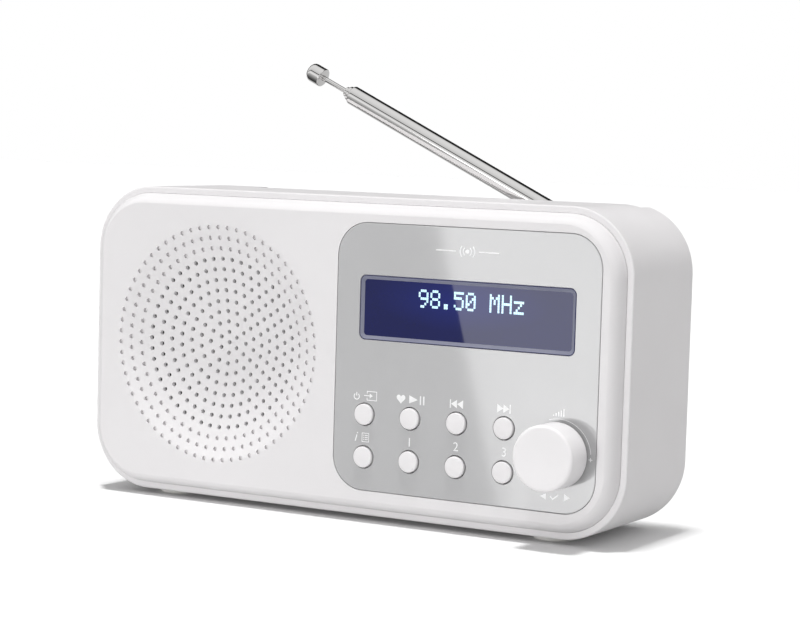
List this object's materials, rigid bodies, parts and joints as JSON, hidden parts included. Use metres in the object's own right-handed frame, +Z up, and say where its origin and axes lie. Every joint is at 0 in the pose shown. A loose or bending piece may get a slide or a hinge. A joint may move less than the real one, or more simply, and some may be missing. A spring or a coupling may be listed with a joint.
{
  "type": "tabletop radio",
  "caption": "Compact white tabletop radio with a dished grille of small round holes, glossy grey panel with a display, round keys, a large knob and a folding telescopic aerial.",
  "frame": {"origin": "on the floor, under the middle of the overall box (aerial included)", "axes": "+X along the width to the control panel's side, -Y out of the front, +Z up"},
  "size_m": [0.185, 0.0588, 0.1364],
  "materials": {
    "white_abs": "satin moulded ABS",
    "grey_gloss_acrylic": "gloss",
    "smoked_blue_acrylic": "gloss",
    "white_key_abs": "satin gloss",
    "polished_nickel": "polished plating on brass tube",
    "board_laminate": "solder mask",
    "display_module": "gloss",
    "black_plastic": "matte",
    "zinc_steel": "zinc plated",
    "speaker_paper": "matte pulp",
    "speaker_rubber": "matte",
    "ferrite": "matte",
    "cell_wrap": "printed film",
    "white_rubber": "matte"
  },
  "bodies": {
    "cabinet": {"rear_case": "white_abs", "front_baffle": "white_abs", "fascia_panel": "grey_gloss_acrylic", "display_window": "smoked_blue_acrylic", "lcd_module": "display_module", "control_board": "board_laminate", "tact_switch_1": "black_plastic", "tact_switch_2": "black_plastic", "tact_switch_3": "black_plastic", "tact_switch_4": "black_plastic", "tact_switch_5": "black_plastic", "tact_switch_6": "black_plastic", "tact_switch_7": "black_plastic", "tact_switch_8": "black_plastic", "encoder_body": "zinc_steel", "speaker_frame": "zinc_steel", "speaker_magnet": "ferrite", "speaker_cone": "speaker_paper", "speaker_surround": "speaker_rubber", "speaker_screw_1": "zinc_steel", "speaker_screw_2": "zinc_steel", "speaker_screw_3": "zinc_steel", "speaker_screw_4": "zinc_steel", "battery_tray": "black_plastic", "battery_cell_1": "cell_wrap", "battery_cell_2": "cell_wrap", "battery_cell_3": "cell_wrap", "battery_cell_4": "cell_wrap", "battery_contact_top": "zinc_steel", "battery_contact_bottom": "zinc_steel", "case_screw_1": "zinc_steel", "case_screw_2": "zinc_steel", "case_screw_3": "zinc_steel", "case_screw_4": "zinc_steel", "foot_front_left": "white_rubber", "foot_front_right": "white_rubber", "foot_rear_left": "white_rubber", "foot_rear_right": "white_rubber", "power_inlet": "zinc_steel", "headphone_socket": "black_plastic", "antenna_bush": "zinc_steel"},
    "door": {"battery_door": "white_abs"},
    "key_power": {"button_power": "white_key_abs"},
    "key_favourite_play": {"button_favourite_play": "white_key_abs"},
    "key_previous": {"button_previous": "white_key_abs"},
    "key_next": {"button_next": "white_key_abs"},
    "key_menu": {"button_menu": "white_key_abs"},
    "key_preset_1": {"button_preset_1": "white_key_abs"},
    "key_preset_2": {"button_preset_2": "white_key_abs"},
    "key_preset_3": {"button_preset_3": "white_key_abs"},
    "encoder_press": {"encoder_plunger": "black_plastic"},
    "knob": {"volume_knob": "white_abs", "encoder_shaft": "zinc_steel"},
    "aerial_swivel": {"antenna_yoke": "polished_nickel", "antenna_hinge_pin": "zinc_steel"},
    "aerial_outer": {"antenna_tube_outer": "polished_nickel"},
    "aerial_middle": {"antenna_tube_middle": "polished_nickel"},
    "aerial_inner": {"antenna_tube_inner": "polished_nickel"},
    "aerial_rod": {"antenna_rod": "polished_nickel", "antenna_tip": "polished_nickel"}
  },
  "joints": [
    {"name": "button_power_press", "type": "slide", "parent": "cabinet", "child": "key_power", "axis": [0, 1, 0], "range_m": [0, 0.0005], "stiffness_N_per_m": 800},
    {"name": "button_favourite_play_press", "type": "slide", "parent": "cabinet", "child": "key_favourite_play", "axis": [0, 1, 0], "range_m": [0, 0.0005], "stiffness_N_per_m": 800},
    {"name": "button_previous_press", "type": "slide", "parent": "cabinet", "child": "key_previous", "axis": [0, 1, 0], "range_m": [0, 0.0005], "stiffness_N_per_m": 800},
    {"name": "button_next_press", "type": "slide", "parent": "cabinet", "child": "key_next", "axis": [0, 1, 0], "range_m": [0, 0.0005], "stiffness_N_per_m": 800},
    {"name": "button_menu_press", "type": "slide", "parent": "cabinet", "child": "key_menu", "axis": [0, 1, 0], "range_m": [0, 0.0005], "stiffness_N_per_m": 800},
    {"name": "button_preset_1_press", "type": "slide", "parent": "cabinet", "child": "key_preset_1", "axis": [0, 1, 0], "range_m": [0, 0.0005], "stiffness_N_per_m": 800},
    {"name": "button_preset_2_press", "type": "slide", "parent": "cabinet", "child": "key_preset_2", "axis": [0, 1, 0], "range_m": [0, 0.0005], "stiffness_N_per_m": 800},
    {"name": "button_preset_3_press", "type": "slide", "parent": "cabinet", "child": "key_preset_3", "axis": [0, 1, 0], "range_m": [0, 0.0005], "stiffness_N_per_m": 800},
    {"name": "knob_press", "type": "slide", "parent": "cabinet", "child": "encoder_press", "axis": [0, 1, 0], "range_m": [0, 0.0005], "stiffness_N_per_m": 4000},
    {"name": "knob_turn", "type": "hinge", "parent": "encoder_press", "child": "knob", "pos_m": [0.07307, -0.0191, 0.0264], "axis": [0, 1, 0], "continuous": true},
    {"name": "battery_door_hinge", "type": "hinge", "parent": "cabinet", "child": "door", "pos_m": [0.036, 0.0294, 0.0135], "axis": [-1, 0, 0], "range_deg": [0, 75]},
    {"name": "antenna_swivel", "type": "hinge", "parent": "cabinet", "child": "aerial_swivel", "pos_m": [0.064, 0.0249, 0.085], "axis": [0, 1, 0], "range_deg": [-25.3, 94.7]},
    {"name": "antenna_elbow", "type": "hinge", "parent": "aerial_swivel", "child": "aerial_outer", "pos_m": [0.064, 0.0249, 0.085], "axis": [-0.4274, 0, -0.9041], "range_deg": [0, 90]},
    {"name": "antenna_pull_middle", "type": "slide", "parent": "aerial_outer", "child": "aerial_middle", "axis": [-0.9041, 0, 0.4274], "range_m": [0, 0.072]},
    {"name": "antenna_pull_inner", "type": "slide", "parent": "aerial_middle", "child": "aerial_inner", "axis": [-0.9041, 0, 0.4274], "range_m": [0, 0.07]},
    {"name": "antenna_pull_rod", "type": "slide", "parent": "aerial_inner", "child": "aerial_rod", "axis": [-0.9041, 0, 0.4274], "range_m": [-0.009, 0.062]}
  ]
}
